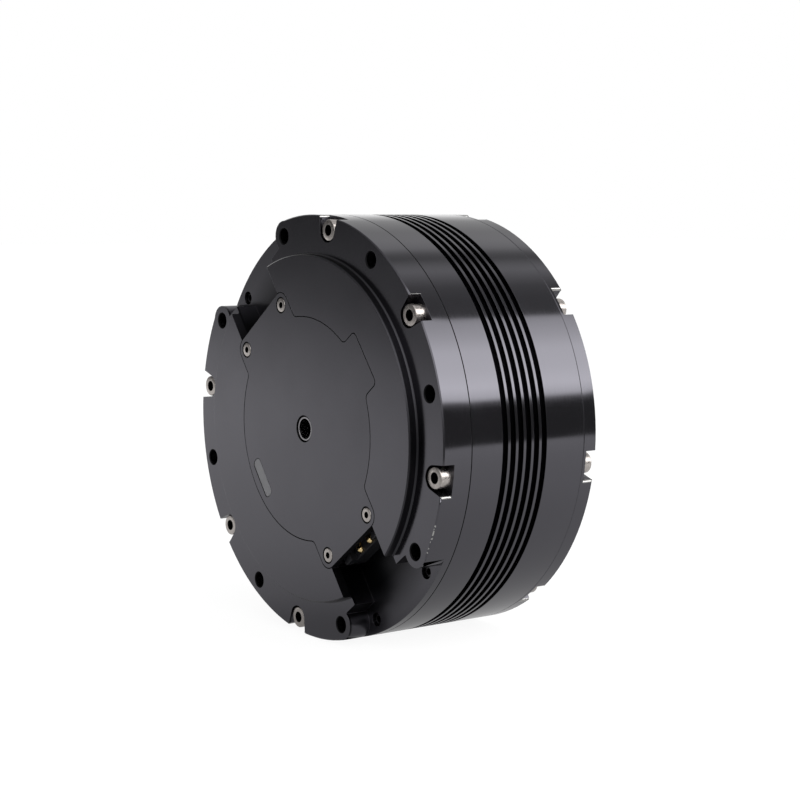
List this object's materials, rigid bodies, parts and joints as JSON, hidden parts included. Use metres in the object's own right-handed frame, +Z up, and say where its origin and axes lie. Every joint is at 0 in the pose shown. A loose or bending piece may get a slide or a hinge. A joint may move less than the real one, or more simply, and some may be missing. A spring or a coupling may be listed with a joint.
{
  "type": "robot joint actuator",
  "caption": "Flat round hollow-shaft joint actuator: finned motor casing, driver cover with cable channels on the rear, planetary stage inside, turning output flange in front.",
  "frame": {"origin": "centre of the rear mounting face, on the axis of rotation; the raised disc on that face reaches 2.5 mm behind it", "axes": "+Y along the axis of rotation from the rear mounting face to the output flange, +Z up, +X to the right when the rear is looked at"},
  "size_m": [0.11, 0.0522, 0.11],
  "materials": {
    "black_anodised": "machined and black anodised, satin gloss",
    "plain_aluminium": "turned, hard anodised natural",
    "screw_steel": "stainless socket screws, bright",
    "bearing_steel": "ground bearing steel",
    "gear_steel": "hardened and ground steel",
    "lamination_steel": "stacked electrical steel, varnished",
    "magnet_nickel": "nickel plated magnets",
    "copper_wire": "enamelled copper wire",
    "bronze": "sintered bronze",
    "gold_contact": "gold plated brass",
    "board_green": "glass epoxy with solder resist",
    "chip_black": "moulded chip packages",
    "connector_black": "moulded nylon, black",
    "grey_pad": "filled silicone",
    "seal_rubber": "nitrile rubber",
    "smoked_window": "smoked acrylic"
  },
  "bodies": {
    "housing": {"rear_housing": "black_anodised", "cover_plate": "black_anodised", "cover_screws": "screw_steel", "status_window": "smoked_window", "rear_housing_screws": "screw_steel", "channel_screws": "screw_steel", "middle_housing": "black_anodised", "front_housing": "black_anodised", "front_housing_screws": "screw_steel", "stator_core": "lamination_steel", "windings": "copper_wire", "driver_board": "board_green", "board_components": "chip_black", "board_screws": "screw_steel", "upper_connector": "connector_black", "lower_connector": "connector_black", "connector_pins": "gold_contact", "thermal_pad": "grey_pad", "ring_gear": "gear_steel", "rotor_bearing_outer": "bearing_steel", "output_bearing_outer": "bearing_steel", "bearing_retainer": "black_anodised", "retainer_screws": "screw_steel", "output_seal": "seal_rubber"},
    "rotor": {"rotor_hub": "plain_aluminium", "rotor_ring": "gear_steel", "magnets": "magnet_nickel", "sun_gear": "gear_steel", "encoder_magnet": "magnet_nickel", "rotor_bearing_inner": "bearing_steel", "rotor_bearing_balls": "bearing_steel"},
    "output": {"output_flange": "black_anodised", "output_flange_screws": "screw_steel", "planet_carrier": "gear_steel", "carrier_plate": "gear_steel", "planet_pins": "bearing_steel", "carrier_screws": "screw_steel", "output_bearing_inner": "bearing_steel", "output_bearing_rollers": "bearing_steel", "centre_tube": "screw_steel", "pilot_bush": "bronze"},
    "planet_1": {"planet_gear_1": "gear_steel", "planet_bush_1": "bronze"},
    "planet_2": {"planet_gear_2": "gear_steel", "planet_bush_2": "bronze"},
    "planet_3": {"planet_gear_3": "gear_steel", "planet_bush_3": "bronze"}
  },
  "joints": [
    {"name": "rotor_spin", "type": "hinge", "parent": "housing", "child": "rotor", "pos_m": [0, 0.0105, 0], "axis": [0, 1, 0], "continuous": true},
    {"name": "output_spin", "type": "hinge", "parent": "housing", "child": "output", "pos_m": [0, 0.0431, 0], "axis": [0, 1, 0], "continuous": true},
    {"name": "planet_1_spin", "type": "hinge", "parent": "output", "child": "planet_1", "pos_m": [0.018, 0.0252, 0], "axis": [0, 1, 0], "continuous": true},
    {"name": "planet_2_spin", "type": "hinge", "parent": "output", "child": "planet_2", "pos_m": [-0.009, 0.0252, 0.01559], "axis": [0, 1, 0], "continuous": true},
    {"name": "planet_3_spin", "type": "hinge", "parent": "output", "child": "planet_3", "pos_m": [-0.009, 0.0252, -0.01559], "axis": [0, 1, 0], "continuous": true}
  ],
  "couplings": [
    {"joint": "output_spin", "follows": "rotor_spin", "ratio": 0.16667},
    {"joint": "planet_1_spin", "follows": "rotor_spin", "ratio": -0.41667},
    {"joint": "planet_2_spin", "follows": "rotor_spin", "ratio": -0.41667},
    {"joint": "planet_3_spin", "follows": "rotor_spin", "ratio": -0.41667}
  ]
}
